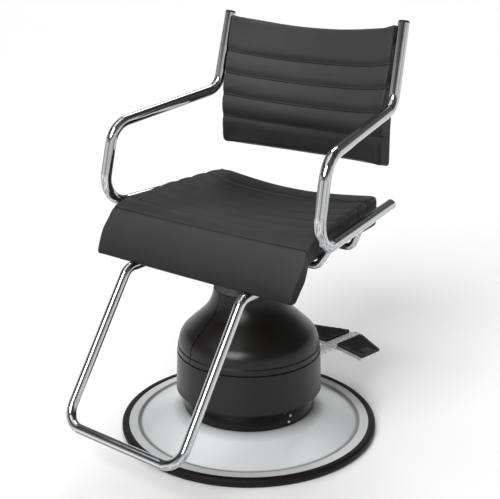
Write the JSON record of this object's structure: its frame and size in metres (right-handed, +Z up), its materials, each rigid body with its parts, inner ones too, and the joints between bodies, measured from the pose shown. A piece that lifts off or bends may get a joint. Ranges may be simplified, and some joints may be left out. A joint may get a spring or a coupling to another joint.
{
  "type": "salon styling chair",
  "caption": "Salon styling chair with tubular side frames, channelled cushions and a U footrest, turning and rising on a round pump base with a foot pedal.",
  "frame": {"origin": "on the floor, under the middle of the column", "axes": "+Z up, +Y from the knees to the backrest, +X to the sitter's left"},
  "size_m": [0.623, 0.849, 0.956],
  "materials": {
    "rim_rubber": "satin",
    "polished_steel": "polished",
    "cast_iron": "painted",
    "brass_bush": "turned",
    "zinc_steel": "zinc plated",
    "cover_plastic": "satin",
    "chrome_tube": "mirror chrome",
    "black_steel": "satin black",
    "board": "painted plywood",
    "back_plastic": "moulded",
    "vinyl": "matt upholstery vinyl",
    "pedal_rubber": "studded",
    "cap_plastic": "semi-gloss"
  },
  "bodies": {
    "base": {"base_rim": "rim_rubber", "base_plate": "polished_steel", "ballast_disc": "cast_iron", "ballast_posts": "cast_iron", "pump_cylinder": "cast_iron", "gland_bush": "brass_bush", "neck_collar": "polished_steel", "flange_bolts": "zinc_steel", "pump_block": "cast_iron", "pedal_pivot_pin": "zinc_steel", "cover_skirt": "cover_plastic", "cover_band_left": "cover_plastic", "cover_band_right": "cover_plastic", "cover_bell_left": "cover_plastic", "cover_bell_right": "cover_plastic", "cover_screws": "zinc_steel", "return_spring": "zinc_steel"},
    "ram": {"lift_ram": "chrome_tube", "thrust_bearing": "zinc_steel", "hub_retainer": "zinc_steel"},
    "seat": {"seat_hub": "cast_iron", "hub_bolts": "zinc_steel", "mounting_plate": "black_steel", "cross_tube_saddles": "black_steel", "seat_cross_tube_front": "chrome_tube", "seat_cross_tube_rear": "chrome_tube", "side_frame_left": "chrome_tube", "side_frame_right": "chrome_tube", "upright_cap_left": "cap_plastic", "upright_cap_right": "cap_plastic", "rail_cap_left": "cap_plastic", "rail_cap_right": "cap_plastic", "footrest_tube": "chrome_tube", "footrest_clamp_left": "black_steel", "footrest_clamp_right": "black_steel", "footrest_clamp_bolts": "zinc_steel", "footrest_cap_left": "cap_plastic", "footrest_cap_right": "cap_plastic", "seat_pan": "board", "seat_cushion": "vinyl", "backrest_shell": "back_plastic", "backrest_pad": "vinyl", "back_cross_tube_lower": "chrome_tube", "back_cross_tube_upper": "chrome_tube"},
    "pedal": {"pedal_lever": "chrome_tube", "pedal_pad_left": "pedal_rubber", "pedal_pad_right": "pedal_rubber", "pad_rivets": "zinc_steel"},
    "plunger": {"pump_plunger": "zinc_steel"}
  },
  "joints": [
    {"name": "ram_lift", "type": "slide", "parent": "base", "child": "ram", "axis": [0, 0, 1], "range_m": [0, 0.16]},
    {"name": "seat_swivel", "type": "hinge", "parent": "ram", "child": "seat", "pos_m": [0, 0, 0.43], "axis": [0, 0, 1], "continuous": true},
    {"name": "pedal_stroke", "type": "hinge", "parent": "base", "child": "pedal", "pos_m": [0.0103, 0.07328, 0.112], "axis": [-0.9903, 0.1392, 0], "range_deg": [0, 16], "stiffness_Nm_per_rad": 30, "springref_deg": -17.19},
    {"name": "plunger_stroke", "type": "slide", "parent": "base", "child": "plunger", "axis": [0, 0, -1], "range_m": [0, 0.0105], "deforming": ["return_spring"]}
  ],
  "couplings": [
    {"joint": "plunger_stroke", "follows": "pedal_stroke", "m_per_rad": 0.0345}
  ]
}
